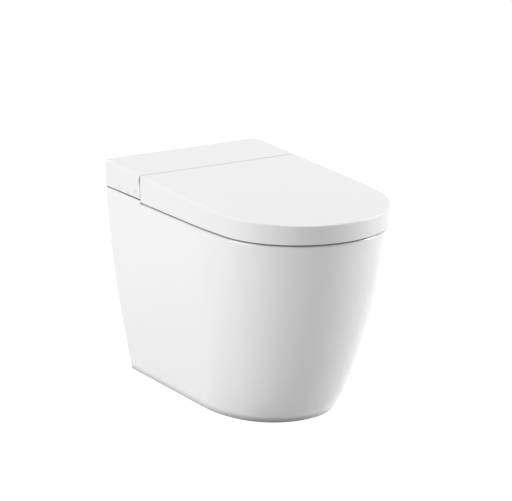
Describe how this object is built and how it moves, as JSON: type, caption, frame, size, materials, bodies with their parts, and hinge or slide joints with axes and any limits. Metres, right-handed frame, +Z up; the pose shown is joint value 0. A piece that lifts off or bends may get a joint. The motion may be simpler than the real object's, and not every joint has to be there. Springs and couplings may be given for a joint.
{
  "type": "smart toilet",
  "caption": "Floor-standing one-piece smart toilet with flush wedge lid, heated seat, bidet nozzle, dryer, deodoriser, side buttons and skirted ceramic pedestal.",
  "frame": {"origin": "on the floor, at the centre of the toilet's bounding rectangle", "axes": "+Z up, +Y towards the wall behind, -Y the front, +X the user's left when seated; the side buttons face -X"},
  "size_m": [0.38, 0.672, 0.4769],
  "materials": {
    "ceramic": "gloss",
    "shell_white": "gloss",
    "seat_white": "satin",
    "frame_grey": "matte",
    "duct_black": "matte",
    "nozzle_white": "gloss",
    "acetal": "satin",
    "steel": "satin",
    "button_white": "satin",
    "brass": "satin",
    "rubber_grey": "matte",
    "rubber_black": "matte",
    "motor_metal": "satin",
    "board_green": "satin",
    "heater_film": "satin",
    "carbon": "matte"
  },
  "bodies": {
    "base": {"blower_housing": "duct_black", "blower_motor": "motor_metal", "button_board": "board_green", "button_frame": "frame_grey", "carbon_filter": "carbon", "ceramic_body": "ceramic", "chassis": "frame_grey", "control_board": "board_green", "control_case": "frame_grey", "cord_gland": "rubber_black", "cover_screws": "steel", "deck_bolts": "steel", "deck_nuts": "frame_grey", "deck_sleeves": "rubber_grey", "deodoriser_housing": "duct_black", "deodoriser_motor": "motor_metal", "dryer_duct": "duct_black", "dryer_heater": "steel", "flush_pipe": "rubber_black", "flush_valve": "duct_black", "inlet_fitting": "brass", "inlet_strainer": "steel", "lid_damper": "duct_black", "nozzle_bay": "seat_white", "nozzle_guide": "acetal", "nozzle_motor": "motor_metal", "outlet_seal": "rubber_black", "port_seal": "rubber_black", "power_supply": "motor_metal", "rear_cover": "shell_white", "rim_nozzle": "nozzle_white", "seat_damper": "duct_black", "vacuum_breaker": "nozzle_white", "wash_pump": "duct_black", "water_heater": "acetal"},
    "seat": {"seat_top": "seat_white", "seat_base": "seat_white", "seat_heater": "heater_film", "seat_buffers": "rubber_grey", "seat_hinge_shaft": "steel"},
    "lid": {"lid_shell": "shell_white", "lid_liner": "seat_white", "lid_buffers": "rubber_grey", "lid_hinge_shaft": "steel"},
    "wand": {"nozzle_wand": "nozzle_white", "nozzle_tip": "nozzle_white"},
    "pinion": {"nozzle_pinion": "acetal"},
    "impeller": {"blower_impeller": "acetal"},
    "fan": {"deodoriser_fan": "acetal"},
    "flap": {"dryer_flap": "seat_white"},
    "front_button": {"button_front": "button_white"},
    "middle_button": {"button_middle": "button_white"},
    "rear_button": {"button_rear": "button_white"}
  },
  "joints": [
    {"name": "seat_hinge", "type": "hinge", "parent": "base", "child": "seat", "pos_m": [0, 0.161, 0.4595], "axis": [1, 0, 0], "range_deg": [-95, 0]},
    {"name": "lid_hinge", "type": "hinge", "parent": "seat", "child": "lid", "pos_m": [0, 0.161, 0.4595], "axis": [-1, 0, 0], "range_deg": [0, 98]},
    {"name": "nozzle_slide", "type": "slide", "parent": "base", "child": "wand", "axis": [0, -0.9511, -0.309], "range_m": [0, 0.11]},
    {"name": "pinion_turn", "type": "hinge", "parent": "base", "child": "pinion", "pos_m": [0, 0.17938, 0.40558], "axis": [1, 0, 0], "range_deg": [-5, 905]},
    {"name": "impeller_spin", "type": "hinge", "parent": "base", "child": "impeller", "pos_m": [0.092, 0.238, 0.395], "axis": [0, 0, 1], "continuous": true},
    {"name": "fan_spin", "type": "hinge", "parent": "base", "child": "fan", "pos_m": [-0.052, 0.16, 0.3882], "axis": [0, 1, 0], "continuous": true},
    {"name": "flap_hinge", "type": "hinge", "parent": "base", "child": "flap", "pos_m": [0.055, 0.05743, 0.40042], "axis": [-1, 0, 0], "range_deg": [0, 70]},
    {"name": "front_button_press", "type": "slide", "parent": "base", "child": "front_button", "axis": [1, 0, 0], "range_m": [0, 0.0012], "stiffness_N_per_m": 400, "springref_m": -0.002},
    {"name": "middle_button_press", "type": "slide", "parent": "base", "child": "middle_button", "axis": [1, 0, 0], "range_m": [0, 0.0012], "stiffness_N_per_m": 400, "springref_m": -0.002},
    {"name": "rear_button_press", "type": "slide", "parent": "base", "child": "rear_button", "axis": [1, 0, 0], "range_m": [0, 0.0012], "stiffness_N_per_m": 400, "springref_m": -0.002}
  ],
  "couplings": [
    {"joint": "pinion_turn", "follows": "nozzle_slide", "rad_per_m": 142.86}
  ]
}
